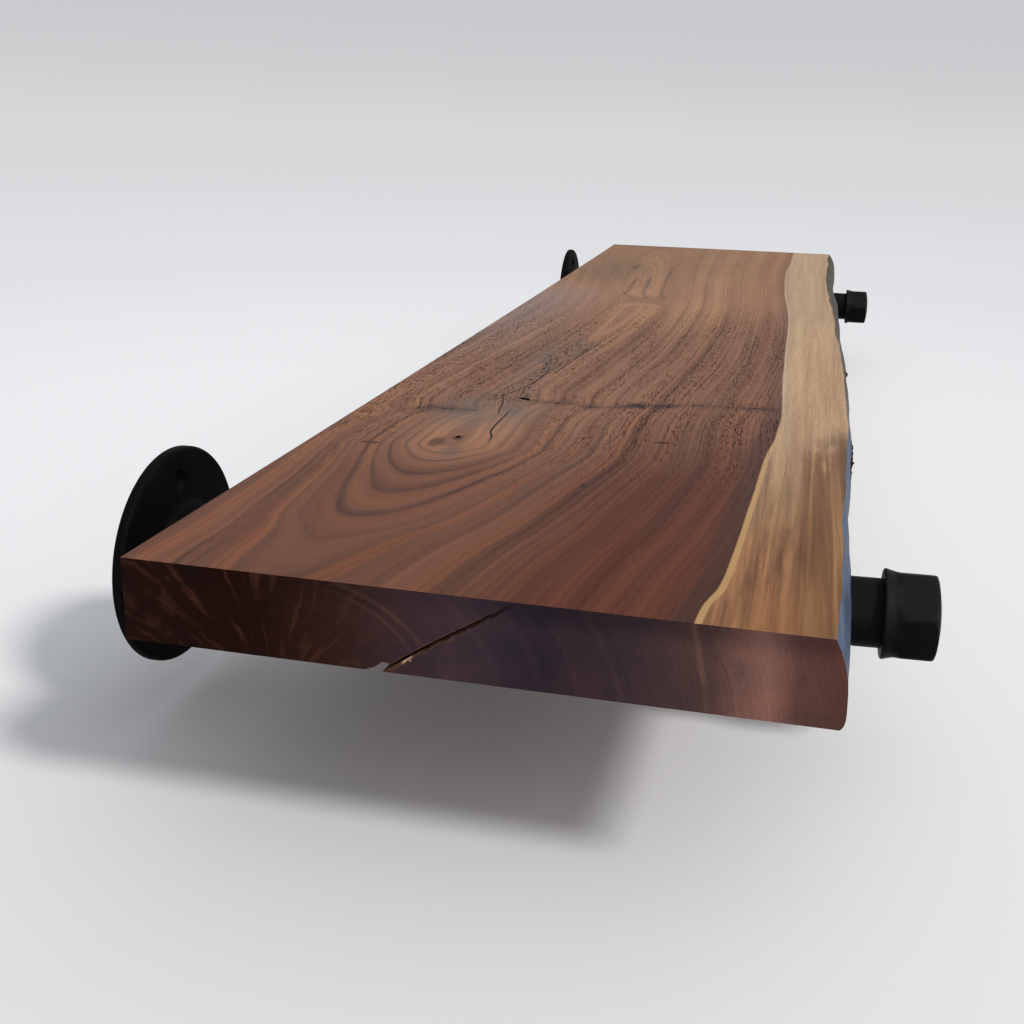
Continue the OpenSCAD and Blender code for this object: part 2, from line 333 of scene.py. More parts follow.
def build_ring_group():
    """Growth rings: broad dark late wood, unequal from ring to ring, with finer lines between."""
    net, given, out = new_group(
        "growth rings",
        [("Growth", FLOAT), ("Spacing", FLOAT), ("Wobble", FLOAT)],
        [("Late", FLOAT), ("Early", FLOAT)],
    )
    growth = given["Growth"]
    inputs = {"W": net.times(growth, 90.0), "Scale": 1.0, "Detail": 1.0}
    loose = net.add("ShaderNodeTexNoise", inputs, noise_dimensions="1D").outputs["Fac"]
    count = net.plus(net.over(growth, given["Spacing"]), net.times(loose, given["Wobble"]))
    part = net.math("FRACT", count)
    inputs = {"W": net.math("FLOOR", count)}
    chance = net.add("ShaderNodeTexWhiteNoise", inputs, noise_dimensions="1D").outputs["Value"]
    rise = net.plus(net.span(part, 0.3, 0.85, 0.0, 0.4), net.span(part, 0.74, 0.9, 0.0, 0.6))
    late = net.times(rise, net.fade(part, 0.92, 0.99), net.line(chance, 0.0, 1.0, 0.25, 1.0))
    early = net.between(part, 0.0, 0.12, 0.12, 0.5)
    net.feed(out["Late"], late)
    net.feed(out["Early"], net.times(early, net.span(chance, 0.3, 1.0)))


def build_bold_group():
    """The boldest rings, one by one from the pith outwards: dark late wood and light early wood."""
    net, given, out = new_group("bold rings", [("Growth", FLOAT)], [("Dark", FLOAT), ("Light", FLOAT)])
    inner = net.profile(given["Growth"], [
        (0.0, 0.2), (0.0052, -0.15), (0.006, -0.5), (0.0066, 0.4), (0.0096, -0.1), (0.0106, -0.55),
        (0.0112, 0.4), (0.0155, -0.1), (0.0167, -0.85), (0.0174, 0.4), (0.0222, -0.1), (0.0236, -0.9),
        (0.0244, 0.35), (0.03, -0.15), (0.0315, -1.0), (0.0324, 0.3), (0.0362, -0.2), (0.0376, -0.9),
        (0.0384, 0.45), (0.041, 0.5), (0.0424, -0.2), (0.0438, -1.0), (0.0446, 0.3), (0.05, 0.0)],
        -1.0, 1.0)
    outer = net.profile(given["Growth"], [
        (0.05, 0.0), (0.0528, -0.2), (0.0539, -0.7), (0.0545, 0.3), (0.0558, 1.0), (0.0572, 0.3),
        (0.0596, -0.2), (0.0608, -0.7), (0.0613, 0.2), (0.0628, -0.3), (0.0641, -1.0), (0.0648, 0.0),
        (0.0665, 0.3), (0.0679, -0.1), (0.0688, -0.6), (0.0693, 0.3), (0.0728, 0.7), (0.0745, 0.8),
        (0.0758, 0.1), (0.0774, -0.2), (0.0785, -0.8), (0.079, 0.4), (0.0806, -0.2), (0.0817, -0.8),
        (0.0822, 0.3), (0.0845, -0.2), (0.0856, -0.8), (0.0861, 0.3), (0.0895, -0.1), (0.0909, -0.6),
        (0.0914, 0.2), (0.1, 0.0)], -1.0, 1.0)
    tone = net.plus(inner, outer)
    net.feed(out["Dark"], net.line(tone, 0.0, -1.0))
    net.feed(out["Light"], net.line(tone, 0.0, 1.0))


def build_pore_group():
    """Open pores of walnut, short dark dashes that follow the fibres, and the fine fibre between."""
    net, given, out = new_group(
        "walnut pores",
        [("Flow", VECTOR), ("Place", VECTOR)],
        [("Pores", FLOAT), ("Fibre", FLOAT), ("Streaks", FLOAT), ("Fine Streaks", FLOAT)],
    )
    flow, place = given["Flow"], given["Place"]
    long_pores = net.grain(place, (170.0, 1500.0, 900.0), 1.0)
    short_pores = net.grain(place, (330.0, 2600.0, 1100.0), 1.0)
    clumps = net.grain(flow, (10.0, 90.0, 30.0))
    dash = net.times(net.span(long_pores, 0.525, 0.59), net.span(clumps, 0.3, 0.6))
    net.feed(out["Pores"], net.most(dash, net.times(net.span(short_pores, 0.6, 0.67), 0.8)))
    net.feed(out["Fibre"], net.grain(flow, (26.0, 1100.0, 300.0), 3.0, 0.6))
    net.feed(out["Streaks"], net.grain(flow, (0.9, 95.0, 12.0), 4.0, 0.55))
    net.feed(out["Fine Streaks"], net.grain(place, (5.0, 230.0, 60.0), 4.0, 0.6, 0.4))


# Planed face of the board

def read_planed_face(net):
    """The values that every part of the planed face's figure is worked out from."""
    face = SimpleNamespace(net=net, place=place_of(net))
    face.x, y, _ = net.apart(face.place)
    face.across = net.opposite(y)
    face.tree = use_group(net, "walnut growth", Place=face.place)
    face.growth = face.tree["Growth"]
    face.inside_mm = net.times(face.tree["Inside"], 1000.0)
    face.pores = use_group(net, "walnut pores", Flow=face.tree["Flow"], Place=face.place)
    face.fine = use_group(net, "growth rings", Growth=face.growth, Spacing=0.0029, Wobble=1.1)
    face.wide = use_group(net, "growth rings", Growth=face.growth, Spacing=0.0056, Wobble=1.6)
    face.bold = use_group(net, "bold rings", Growth=face.growth)
    face.cloud = net.grain(face.place, (22.0, 60.0, 60.0), 3.0)
    face.ragged = net.span(net.grain(face.place, (60.0, 240.0, 240.0), 3.0, 0.6), 0.36, 0.58)

    # Liveliest across the middle of the board, and calm round the knot
    lively = net.times(net.span(face.x, -0.43, -0.27, 0.12, 1.0), net.span(face.x, -0.08, 0.14, 1.0, 0.35))
    off_knot = net.most(net.span(face.growth, 0.02, 0.045, 0.1, 1.0), net.span(face.x, -0.3, -0.25))
    face.lively = net.times(lively, off_knot)
    return face


def off_line(face, points, low, high):
    """Distance across the board from a given line along it."""
    return face.net.size(face.net.minus(face.across, face.net.profile(face.x, points, low, high)))


def hairline(face, points, width):
    """A fine open crack that follows a given line along the board."""
    net = face.net
    first, last = points[0][0], points[-1][0]
    ends = net.between(face.x, first, first + 0.02, last - 0.03, last)
    off_edge = net.minus(off_line(face, points, 0.1, 0.13), net.times(ends, width))
    return net.times(net.fade(off_edge, -0.0002, 0.0003), ends)


def vein(face, points, width, low, high):
    """A soft dark vein along a given line."""
    net = face.net
    first, last = points[0][0], points[-1][0]
    ends = net.between(face.x, first, first + 0.03, last - 0.04, last)
    return net.times(net.fade(off_line(face, points, low, high), 0.0, width), ends)


def blot(face, centre, size, strength=1.0):
    """A soft stain of the given half length and half width."""
    net = face.net
    along = net.over(net.minus(face.x, centre[0]), size[0])
    over = net.over(net.minus(face.across, centre[1]), size[1])
    return net.span(net.squares(net.size(along), net.size(over)), 0.0, 1.6, strength, 0.0)


def heartwood(face):
    """Heartwood, from the warm middle of the board to the dark band beside the sapwood."""
    net, x, inside_mm, streaks = face.net, face.x, face.inside_mm, face.pores["Streaks"]
    drift = net.times(net.minus(streaks, 0.5), net.span(x, 0.02, 0.2, 0.8, 0.35))
    streaked = net.ramp(net.plus(drift, 0.5), [
        (0.3, (0.105, 0.043, 0.027)), (0.42, (0.155, 0.069, 0.043)), (0.52, (0.19, 0.089, 0.056)),
        (0.62, (0.225, 0.105, 0.06)), (0.74, (0.27, 0.125, 0.065))])
    bands = net.ramp(net.line(inside_mm, 0.0, 100.0), [
        (0.0, (0.52, 0.44, 0.44)), (0.085, (0.58, 0.48, 0.46)), (0.12, (0.86, 0.7, 0.64)),
        (0.2, (0.84, 0.66, 0.6)), (0.27, (0.74, 0.68, 0.62)), (0.45, (0.78, 0.71, 0.67)),
        (0.75, (0.95, 0.95, 0.95)), (1.0, (1.0, 1.0, 1.0))])
    # Darker at the near end and paler further on: partly the wood's tone, partly painted sheen.
    tone_and_painted_sheen_along = net.ramp(net.line(x, -0.52, 0.52), [
        (0.0, (0.4, 0.35, 0.33)), (0.12, (0.44, 0.39, 0.37)), (0.24, (0.77, 0.79, 0.75)),
        (0.38, (0.74, 0.76, 0.7)), (0.6, (0.93, 1.0, 0.88)), (0.77, (0.77, 0.85, 0.68)),
        (1.0, (0.78, 0.84, 0.66))])

    # Streaks, darkened in bands beside the sapwood and again along the board, paler towards the far end
    # partly from the wood's tone and partly as painted sheen
    heart = net.tint(net.span(x, -0.42, -0.15, 1.0, 0.35), streaked, bands)
    heart = net.mix(1.0, heart, (2.0, 2.0, 2.0), "MULTIPLY")
    heart = net.mix(1.0, heart, tone_and_painted_sheen_along, "MULTIPLY")

    # Lighter towards the room at the far end, partly as painted sheen, and near the knot
    room_side_tone_and_sheen = net.times(net.fade(inside_mm, 40.0, 110.0), net.span(x, -0.1, 0.35))
    heart = net.tint(room_side_tone_and_sheen, heart, (1.3, 1.3, 1.25))
    near_knot = net.times(
        net.fade(face.growth, 0.02, 0.045), net.span(x, -0.45, -0.39), net.fade(x, -0.31, -0.27))
    heart = net.tint(near_knot, heart, (1.14, 1.22, 1.2))

    # Red band at the near end, and the dark one that borders the sapwood
    red_band = net.times(net.between(inside_mm, 5.0, 11.0, 38.0, 85.0), net.fade(x, -0.42, -0.3))
    red = net.ramp(streaks, [(0.35, (0.08, 0.021, 0.011)), (0.65, (0.155, 0.043, 0.022))])
    heart = net.mix(net.times(red_band, 0.9), heart, red)
    dark_band = net.times(net.fade(inside_mm, 6.0, 9.0), net.span(x, -0.3, -0.15, 1.0, 0.3))
    return net.mix(net.times(dark_band, 0.5), heart, (0.075, 0.032, 0.022))


def add_rings(face, heart):
    """The boldest rings round the knot and the far oval, then the finer ones between."""
    net, x, growth, lively = face.net, face.x, face.growth, face.lively
    oval = net.times(net.span(x, 0.02, 0.08), net.span(growth, 0.016, 0.03, 0.55, 0.0))
    marked = net.most(net.times(net.span(x, -0.34, -0.2, 1.0, 0.4), net.fade(x, 0.0, 0.1)), oval)
    uneven = net.span(net.grain(face.place, (12.0, 30.0, 30.0)), 0.3, 0.65, 0.45, 1.0)
    light_ring = net.times(face.bold["Light"], marked)
    dark_ring = net.power(net.times(face.bold["Dark"], net.times(marked, uneven)), 1.7)
    heart = net.tint(net.times(light_ring, 0.55), heart, (1.85, 1.58, 1.15))
    heart = net.tint(net.times(dark_ring, 0.72), heart, (0.33, 0.32, 0.4))
    fine_share = net.times(net.span(growth, 0.03, 0.07, 0.2, 1.0), net.line(lively, 0.1, 1.0, 0.5, 1.0))
    heart = net.tint(net.times(face.fine["Late"], fine_share), heart, (0.4, 0.37, 0.4))
    fibrous = net.span(face.pores["Fibre"], 0.35, 0.6, 0.5, 1.0)
    wide_share = net.times(net.span(lively, 0.5, 1.0, 0.0, 0.7), fibrous)
    return net.tint(net.times(face.wide["Late"], wide_share), heart, (0.42, 0.4, 0.42))


def add_far_veins(face, heart):
    """Dark veins of the fork near the board's far end."""
    net = face.net
    veins = net.most(
        vein(face, [(0.1, 0.103), (0.138, 0.105), (0.176, 0.102), (0.24, 0.0995)], 0.0035, 0.09, 0.11),
        vein(face, [(0.085, 0.135), (0.097, 0.13), (0.113, 0.123), (0.138, 0.118), (0.172, 0.116),
                    (0.23, 0.111), (0.25, 0.11)], 0.0035, 0.1, 0.14),
        vein(face, [(0.09, 0.142), (0.101, 0.14), (0.138, 0.133), (0.18, 0.13), (0.222, 0.127),
                    (0.263, 0.124), (0.33, 0.12)], 0.0032, 0.11, 0.15),
        blot(face, (0.302, 0.087), (0.026, 0.0035)))
    return net.mix(net.times(veins, 0.55), heart, (0.075, 0.042, 0.03))


def add_stains(face, heart):
    """Grey stain along the pith beyond the knot; further on, a painted grey sheen on the wall side, a darker
    region, and a lighter one that is partly painted sheen.
    """
    net, x = face.net, face.x
    along_pith = net.times(
        net.between(x, -0.335, -0.3, -0.16, 0.0), net.bell(net.plus(face.tree["Side"], 0.004), 0.015),
        net.span(face.cloud, 0.25, 0.65))
    round_check = blot(face, (-0.285, 0.105), (0.036, 0.03))
    round_check = net.times(round_check, net.span(face.cloud, 0.25, 0.6, 0.3, 1.0))
    stain = net.times(net.most(along_pith, round_check), 0.75)
    heart = net.mix(stain, heart, (0.135, 0.105, 0.092))
    # Painted sheen: a grey lilac haze along the wall side, as a reflection on the oiled face.
    painted_sheen_by_wall = net.times(net.fade(face.across, 0.045, 0.11), net.between(x, -0.25, 0.04, 0.08, 0.2))
    heart = net.mix(net.times(painted_sheen_by_wall, 0.6), heart, (0.26, 0.2, 0.185))
    far_shade = net.times(blot(face, (0.27, 0.07), (0.09, 0.032)), 0.6)
    heart = net.tint(far_shade, heart, (0.66, 0.74, 0.76))
    # A lighter region, partly the wood's own tone and partly painted sheen.
    return net.tint(blot(face, (0.03, 0.165), (0.07, 0.03)), heart, (1.14, 1.2, 1.14))


def add_branch_trace(face, heart):
    """The thin branch that crossed the board, a dark line of uneven strength."""
    net, across = face.net, face.across
    off_trace = net.size(face.tree["Trace"])
    dark = net.profile(across, [
        (0.05, 0.0), (0.066, 0.3), (0.074, 0.8), (0.082, 0.9), (0.09, 0.5), (0.096, 0.5), (0.103, 0.0),
        (0.108, 0.1), (0.124, 0.5), (0.136, 0.6), (0.143, 0.2), (0.151, 0.8), (0.158, 0.35),
        (0.171, 0.95), (0.178, 0.6), (0.186, 0.9), (0.196, 0.3), (0.215, 0.25), (0.233, 0.6),
        (0.245, 0.1), (0.25, 0.0)], 0.0, 1.0)
    halo = net.times(net.fade(off_trace, 0.001, 0.0105), dark)
    core = net.span(off_trace, 0.0005, 0.002, 0.75, 0.0)
    wall_part = net.most(
        net.times(halo, net.span(face.ragged, 0.0, 1.0, 0.4, 0.8)),
        net.times(core, net.span(dark, 0.0, 0.5, 0.25, 1.0)))
    wall_part = net.times(wall_part, net.between(across, 0.06, 0.068, 0.098, 0.102))
    room_part = net.most(net.times(core, net.span(dark, 0.0, 0.5, 0.35, 1.0)), net.times(halo, 0.75))
    room_part = net.times(room_part, net.span(across, 0.115, 0.125))
    return net.mix(net.most(wall_part, room_part), heart, (0.05, 0.024, 0.016))


def add_spots(face, heart):
    """Ragged dark spots along the branch trace and beside it, then the two halves of the knot."""
    net = face.net
    spots = [
        ((-0.2905, 0.072), (0.0035, 0.003)), ((-0.288, 0.084), (0.003, 0.0035)),
        ((-0.2895, 0.0925), (0.0026, 0.0016)), ((-0.2625, 0.135), (0.0022, 0.0035)),
        ((-0.266, 0.152), (0.0045, 0.0025)), ((-0.2575, 0.1725), (0.0055, 0.005)),
        ((-0.2545, 0.185), (0.0035, 0.006)), ((-0.2485, 0.205), (0.0016, 0.004)),
        ((-0.2465, 0.235), (0.0018, 0.006)), ((-0.354, 0.07), (0.0014, 0.0045)),
        ((-0.392, 0.172), (0.003, 0.0012)), ((-0.3225, 0.195), (0.0016, 0.0045))]
    torn_edge = net.times(net.minus(face.ragged, 0.5), 1.1)
    marks = []
    for centre, size in spots:
        near = blot(face, centre, size)
        frayed = net.math("MULTIPLY_ADD", net.span(near, 0.0, 0.3), torn_edge, near)
        marks.append(net.span(frayed, 0.35, 0.75))
    heart = net.mix(net.times(net.most(*marks), 0.8), heart, (0.028, 0.014, 0.01))
    knot = net.most(blot(face, (-0.3462, 0.0972), (0.008, 0.0034)),
                    blot(face, (-0.3376, 0.1044), (0.0042, 0.003)))
    heart = net.mix(net.times(knot, 0.75), heart, (0.045, 0.024, 0.018))
    return net.mix(blot(face, (-0.359, 0.108), (0.009, 0.005), 0.5), heart, (0.1, 0.072, 0.066))


def sapwood(face):
    """Sapwood: sand coloured, greyer beside the heartwood, brown towards the natural edge."""
    net, x, across = face.net, face.x, face.across
    streaks = face.pores["Fine Streaks"]
    tone = net.math("MULTIPLY_ADD", net.plus(face.pores["Streaks"], streaks), 0.45, 0.05)
    sap = net.ramp(tone, [(0.3, (0.37, 0.225, 0.125)), (0.48, (0.45, 0.29, 0.17)),
                          (0.62, (0.51, 0.34, 0.205)), (0.75, (0.54, 0.36, 0.215))])
    sap = net.mix(net.span(face.inside_mm, -11.0, -3.0, 0.0, 0.25), sap, (0.33, 0.23, 0.16))
    warm = net.ramp(streaks, [(0.35, (0.13, 0.055, 0.021)), (0.5, (0.24, 0.115, 0.046)),
                              (0.66, (0.37, 0.195, 0.08))])
    sap = net.mix(net.span(x, -0.45, -0.28, 0.8, 0.0), sap, warm)
    fibres = net.ramp(streaks, [(0.3, (0.36, 0.34, 0.33)), (0.5, MID_GREY), (0.7, (0.64, 0.64, 0.62))])
    sap = net.mix(net.span(x, -0.36, -0.2, 0.45, 0.2), sap, fibres, "OVERLAY")
    strands = net.ramp(net.grain(face.place, (26.0, 380.0, 150.0), 4.0, 0.65), [
        (0.36, (0.33, 0.31, 0.3)), (0.5, MID_GREY), (0.64, (0.63, 0.63, 0.61))])
    sap = net.mix(net.span(x, -0.44, -0.31, 0.85, 0.16), sap, strands, "OVERLAY")

    # Browner at the near end, lighter in the middle, and brown along the natural edge
    near_end = net.times(net.fade(x, -0.5, -0.46), net.span(across, 0.242, 0.246))
    sap = net.mix(net.times(near_end, 0.4), sap, (0.38, 0.18, 0.065))
    sap = net.tint(net.fade(x, -0.46, -0.4), sap, (0.93, 0.82, 0.8))
    sap = net.tint(net.between(x, -0.36, -0.22, -0.05, 0.08), sap, (1.1, 1.1, 1.06))
    cloudy_x = net.plus(x, net.line(face.cloud, 0.3, 0.7, -0.03, 0.03))
    edge_zone = net.times(net.span(across, 0.2535, 0.2605), net.fade(cloudy_x, -0.34, -0.29))
    brown = net.ramp(streaks, [(0.35, (0.1, 0.042, 0.017)), (0.5, (0.19, 0.085, 0.035)),
                               (0.68, (0.34, 0.175, 0.075))])
    sap = net.mix(net.times(edge_zone, 0.8), sap, brown)
    light_fleck = net.times(blot(face, (-0.342, 0.266), (0.009, 0.0024)),
                            net.span(streaks, 0.4, 0.6, 0.1, 0.8))
    return net.mix(light_fleck, sap, (0.46, 0.28, 0.13))


def add_gold_line(face, colour):
    """Thin pale line where the sapwood begins, golden near the left end."""
    net, x = face.net, face.x
    inner = net.span(x, -0.4, -0.26, -2.6, -1.5)
    gold = net.between(face.inside_mm, inner, net.plus(inner, 0.9), -0.2, 0.4)
    gold = net.times(gold, net.span(x, 0.1, 0.3, 0.8, 0.2))
    tone = net.ramp(net.span(x, -0.36, -0.2), [(0.0, (0.52, 0.31, 0.13)), (1.0, (0.5, 0.385, 0.28))])
    return net.mix(gold, colour, tone)


def open_pores(face):
    """Dashes of open pores, gathered on the late wood and strongest where the figure is lively."""
    net = face.net
    late = net.most(face.wide["Late"], face.fine["Late"])
    gathered = net.times(face.pores["Pores"], net.span(late, 0.0, 0.5, 0.6, 1.0))
    in_heart = net.span(face.inside_mm, -1.0, 1.0, 0.2, 1.0)
    return net.times(gathered, net.times(face.lively, in_heart))


def fine_cracks(face):
    """Three hairline cracks that run out from the drying check."""
    return face.net.most(
        hairline(face, [(-0.35, 0.121), (-0.342, 0.1194), (-0.332, 0.118), (-0.323, 0.1154),
                        (-0.31, 0.1144), (-0.29, 0.1142), (-0.277, 0.114), (-0.268, 0.1145)], 0.0004),
        hairline(face, [(-0.3, 0.112), (-0.291, 0.11), (-0.28, 0.108), (-0.27, 0.1066), (-0.26, 0.104),
                        (-0.253, 0.1026), (-0.246, 0.105), (-0.234, 0.1084), (-0.22, 0.1106),
                        (-0.2, 0.1116), (-0.17, 0.113)], 0.0003),
        hairline(face, [(-0.21, 0.115), (-0.199, 0.116), (-0.157, 0.119), (-0.12, 0.122),
                        (-0.1, 0.1235)], 0.0003))


def planed_walnut():
    """Oiled, planed face: cathedral figure round the knot, dark streaks, sapwood along the natural edge."""
    material, net, shader = new_material("planed walnut", gloss=0.06)
    face = read_planed_face(net)
    heart = heartwood(face)
    for add_figure in (add_rings, add_far_veins, add_stains, add_branch_trace, add_spots):
        heart = add_figure(face, heart)
    colour = net.mix(net.span(face.inside_mm, -0.5, 0.5), sapwood(face), heart)
    colour = add_gold_line(face, colour)

    fibre, dashes, cracks = face.pores["Fibre"], open_pores(face), fine_cracks(face)
    colour = net.tint(dashes, colour, (0.23, 0.2, 0.2))
    fibre_tone = net.ramp(fibre, [(0.3, (0.35, 0.33, 0.32)), (0.5, MID_GREY), (0.7, (0.63, 0.64, 0.66))])
    colour = net.mix(net.line(face.lively, 0.0, 1.0, 0.08, 0.45), colour, fibre_tone, "OVERLAY")
    colour = net.mix(cracks, colour, (0.012, 0.008, 0.007))
    net.feed(shader["Base Color"], colour)
    rough = net.line(fibre, 0.3, 0.7, 0.4, 0.52)
    net.feed(shader["Roughness"], net.plus(rough, net.times(dashes, 0.3)))
    ripple = net.minus(net.times(fibre, 0.35), net.times(dashes, 0.8))
    relief = net.bump(ripple, 0.35, 0.0004)
    net.feed(shader["Normal"], net.bump(net.opposite(cracks), 0.8, 0.0008, relief))
    return material


# Sawn ends of the board

def read_sawn_end(net):
    """The values that every part of the end grain is worked out from."""
    end = SimpleNamespace(net=net, place=place_of(net))
    _, y, end.z = net.apart(end.place)
    end.across = net.opposite(y)
    end.tree = use_group(net, "walnut growth", Place=end.place)
    end.blotch = net.grain(end.place, (30.0, 55.0, 70.0), 3.0, 0.55)
    return end


def ray_fan(end):
    """Light rays that fan out from the pith, broken along their length."""
    net = end.net
    pith_across, pith_height = 0.096, -0.002
    side, height = net.minus(end.across, pith_across), net.minus(end.z, pith_height)
    turn = net.plus(net.math("ARCTAN2", height, side), net.line(end.blotch, 0.2, 0.8, -0.05, 0.05))
    reach = net.math("SQRT", net.squares(side, height))
    fan = net.add("ShaderNodeCombineXYZ", {0: turn, 1: reach, 2: 0.0}).outputs[0]
    lines = net.grain(fan, (6.5, 14.0, 1.0), 1.0)
    parts = net.grain(fan, (6.0, 75.0, 1.0), 2.0, 0.6, at=(3.0, 0.0, 5.0))
    return net.times(net.fade(net.size(net.minus(lines, 0.5)), 0.0, 0.075),
                     net.span(parts, 0.42, 0.66), net.fade(end.across, 0.11, 0.145))


def end_colour(end):
    """End grain, dark partly from the oil and partly as painted shade, redder at the wall side, with a
    painted bluish reflection in the middle, and its growth rings.
    """
    net, across, growth = end.net, end.across, end.tree["Growth"]
    broad = use_group(net, "growth rings", Growth=growth, Spacing=0.0062, Wobble=1.4)
    fine = use_group(net, "growth rings", Growth=growth, Spacing=0.0019, Wobble=1.0)
    # Dark partly from the oil and partly as painted shade; the bluish violet in the middle is a painted
    # reflection.
    colour = net.ramp(net.line(across, 0.04, 0.29), [
        (0.0, (0.0095, 0.002, 0.0009)), (0.2, (0.011, 0.0025, 0.0011)), (0.3, (0.025, 0.009, 0.0063)),
        (0.37, (0.036, 0.018, 0.0195)), (0.46, (0.042, 0.0265, 0.035)), (0.57, (0.024, 0.016, 0.024)),
        (0.7, (0.046, 0.028, 0.031)), (0.775, (0.07, 0.04, 0.037)), (0.84, (0.215, 0.11, 0.088)),
        (0.875, (0.1, 0.048, 0.04)), (1.0, (0.055, 0.022, 0.018))])
    colour = net.tint(net.span(end.blotch, 0.3, 0.7, 0.0, 0.5), colour, (1.7, 1.35, 1.2))
    faint = net.span(across, 0.13, 0.2, 0.1, 0.16)
    colour = net.tint(net.times(broad["Early"], faint), colour, (2.3, 2.0, 1.8))
    colour = net.tint(net.times(broad["Late"], faint), colour, (0.4, 0.4, 0.45))
    return net.tint(net.times(fine["Late"], 0.25), colour, (0.45, 0.45, 0.5))


def height_over_split(end):
    """How far a point lies above the slanting split, which rises from the underside towards the room."""
    net = end.net
    mouth, length, rise = 0.1325, 0.035, 0.023
    along = net.most(net.over(net.minus(end.across, mouth), length), 0.001)
    split = net.times(net.power(along, 0.92), rise)
    return net.minus(net.minus(end.z, BOARD_UNDER), split)


def add_arcs(end, colour, over_split):
    """Two light arcs that end at the split, the faint sapwood line, and shade under the top arris."""
    net, across, growth = end.net, end.across, end.tree["Growth"]
    first_arc = net.fade(net.size(net.minus(growth, 0.0578)), 0.0002, 0.0014)
    second_arc = net.span(net.size(net.minus(growth, 0.0535)), 0.0002, 0.0012, 0.7, 0.0)
    arcs = net.times(net.most(first_arc, second_arc), net.span(over_split, 0.0, 0.001))
    uneven = net.times(net.span(across, 0.112, 0.122), net.span(end.blotch, 0.3, 0.6, 0.4, 1.0))
    colour = net.mix(net.times(arcs, uneven, 0.5), colour, (0.11, 0.05, 0.036))
    sap_edge = net.fade(net.size(end.tree["Inside"]), 0.0003, 0.0016)
    sap_edge = net.times(sap_edge, net.span(end.blotch, 0.35, 0.6), 0.25)
    colour = net.mix(sap_edge, colour, (0.26, 0.13, 0.09))
    top_shade = net.span(end.z, BOARD_TOP - 0.009, BOARD_TOP - 0.001)
    top_shade = net.times(top_shade, net.span(across, 0.13, 0.2, 0.2, 0.65))
    return net.tint(top_shade, colour, (0.42, 0.42, 0.5))


def add_frayed_split(end, colour, over_split):
    """Torn brown rim of the split, its dark core, and the light fleck of bare wood at its mouth."""
    net, across = end.net, end.across
    torn = net.grain(end.place, (420.0, 420.0, 420.0), 2.0, 0.6)
    off_split = net.size(net.plus(over_split, net.line(torn, 0.25, 0.75, -0.0006, 0.0006)))
    frayed = net.minus(off_split, net.line(torn, 0.3, 0.7, -0.0006, 0.0009))
    rim = net.times(net.fade(frayed, 0.0006, 0.0016), net.span(across, 0.131, 0.135),
                    net.fade(across, 0.15, 0.172))
    colour = net.mix(net.times(rim, 0.7), colour, (0.11, 0.048, 0.024))
    core = net.times(net.fade(off_split, 0.0004, 0.0009), net.between(across, 0.143, 0.147, 0.17, 0.176))
    colour = net.mix(net.times(core, 0.9), colour, (0.008, 0.004, 0.003))
    fleck = net.times(net.fade(frayed, 0.0002, 0.001), net.between(across, 0.138, 0.139, 0.141, 0.1425))
    return net.mix(fleck, colour, (0.42, 0.27, 0.16))


def sawn_end_walnut():
    """End grain, darkened partly by the oil and partly as painted shade: rays fanning from the pith, rings
    round it.
    """
    material, net, shader = new_material("sawn end walnut", gloss=0.04)
    end = read_sawn_end(net)
    over_split, rays = height_over_split(end), ray_fan(end)
    speckle = net.grain(end.place, (900.0, 900.0, 900.0), 2.0, 0.6)
    colour = add_arcs(end, end_colour(end), over_split)
    colour = add_frayed_split(end, colour, over_split)
    colour = net.mix(net.times(rays, 0.36), colour, (0.1, 0.035, 0.019))
    colour = net.tint(net.span(speckle, 0.56, 0.7, 0.0, 0.25), colour, (0.35, 0.35, 0.35))
    net.feed(shader["Base Color"], colour)
    net.feed(shader["Roughness"], net.line(end.blotch, 0.3, 0.7, 0.42, 0.58))
    net.feed(shader["Normal"], net.bump(net.plus(speckle, net.times(rays, 0.3)), 0.25, 0.0003))
    return material


# Natural edge, split and hollows

def natural_edge_walnut():
    """Bark-side surface with the bark off: fibrous, painted blue grey at the upper left as a reflection of
    cool light, brown below and further on.
    """
    material, net, shader = new_material("natural edge walnut", gloss=0.06)
    place = place_of(net)
    x, _, z = net.apart(place)
    pull = net.grain(place, (14.0, 160.0, 160.0), 4.0, 0.6, 0.5)
    fine = net.grain(place, (70.0, 900.0, 900.0), 3.0, 0.6)
    patch = net.grain(place, (9.0, 30.0, 40.0), 3.0)
    # The blue grey ramp is a painted reflection of cool light on the upper left; further on and lower down
    # the edge keeps its own dark brown.
    pale = net.ramp(pull, [(0.3, (0.018, 0.028, 0.05)), (0.5, (0.04, 0.066, 0.112)),
                           (0.7, (0.085, 0.12, 0.175))])
    dark = net.ramp(pull, [(0.3, (0.015, 0.012, 0.008)), (0.55, (0.038, 0.03, 0.02)),
                           (0.75, (0.085, 0.066, 0.044))])
    past_painted_reflection = net.span(net.plus(x, net.line(patch, 0.3, 0.7, -0.12, 0.12)), -0.3, -0.18)
    patchy_z = net.plus(z, net.line(patch, 0.3, 0.7, -0.005, 0.005))
    lower = net.span(patchy_z, 0.014, 0.028, 0.8, 0.0)
    colour = net.mix(net.most(past_painted_reflection, lower), pale, dark)
    colour = net.mix(net.span(fine, 0.55, 0.7, 0.0, 0.35), colour, (0.03, 0.022, 0.02))
    net.feed(shader["Base Color"], colour)
    net.feed(shader["Roughness"], net.line(pull, 0.3, 0.7, 0.34, 0.6))
    net.feed(shader["Normal"], net.bump(net.plus(pull, net.times(fine, 0.4)), 0.5, 0.0008))
    return material


